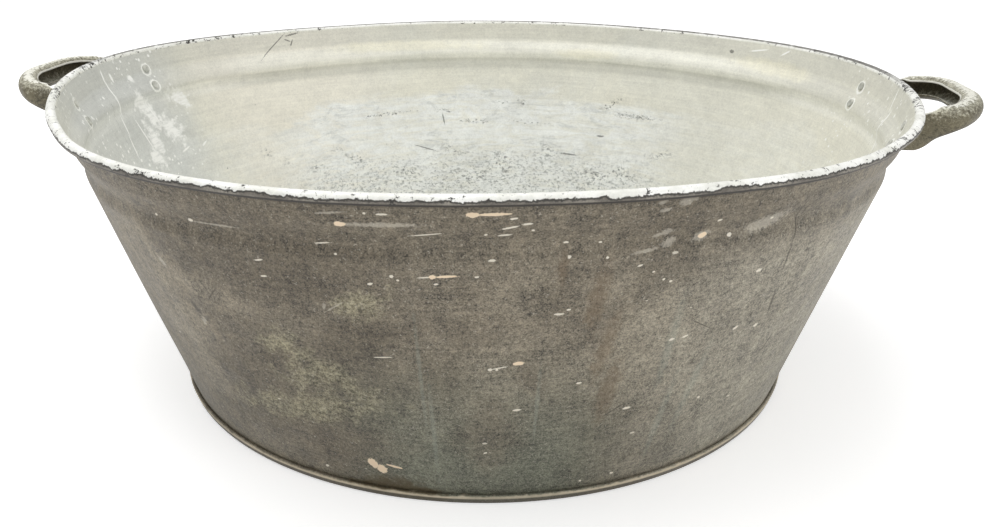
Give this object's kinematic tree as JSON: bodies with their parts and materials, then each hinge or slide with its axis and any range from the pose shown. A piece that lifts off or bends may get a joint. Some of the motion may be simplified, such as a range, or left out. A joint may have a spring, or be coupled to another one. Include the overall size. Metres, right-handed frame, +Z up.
{
  "type": "wash tub",
  "caption": "Round galvanized sheet wash tub: tapered wall, wired rim, double-seamed base and two riveted hollow handles.",
  "frame": {"origin": "on the floor, under the centre of the base", "axes": "+Z up, +X through the middle of the right handle, -Y towards the viewer of the picture"},
  "size_m": [0.76, 0.66, 0.232],
  "materials": {
    "zinc_sheet": "weathered galvanized sheet",
    "zinc_bottom": "weathered galvanized sheet",
    "steel_wire": "plain steel wire",
    "zinc_handle": "weathered galvanized sheet",
    "zinc_rivet": "hammered and galvanized"
  },
  "bodies": {
    "root": {"body_front": "zinc_sheet", "body_back": "zinc_sheet", "bottom_panel": "zinc_bottom", "rim_wire": "steel_wire", "handle_left": "zinc_handle", "handle_right": "zinc_handle", "rivet_left_front_upper": "zinc_rivet", "rivet_left_front_lower": "zinc_rivet", "rivet_left_back_upper": "zinc_rivet", "rivet_left_back_lower": "zinc_rivet", "rivet_right_front_upper": "zinc_rivet", "rivet_right_front_lower": "zinc_rivet", "rivet_right_back_upper": "zinc_rivet", "rivet_right_back_lower": "zinc_rivet"}
  },
  "joints": []
}
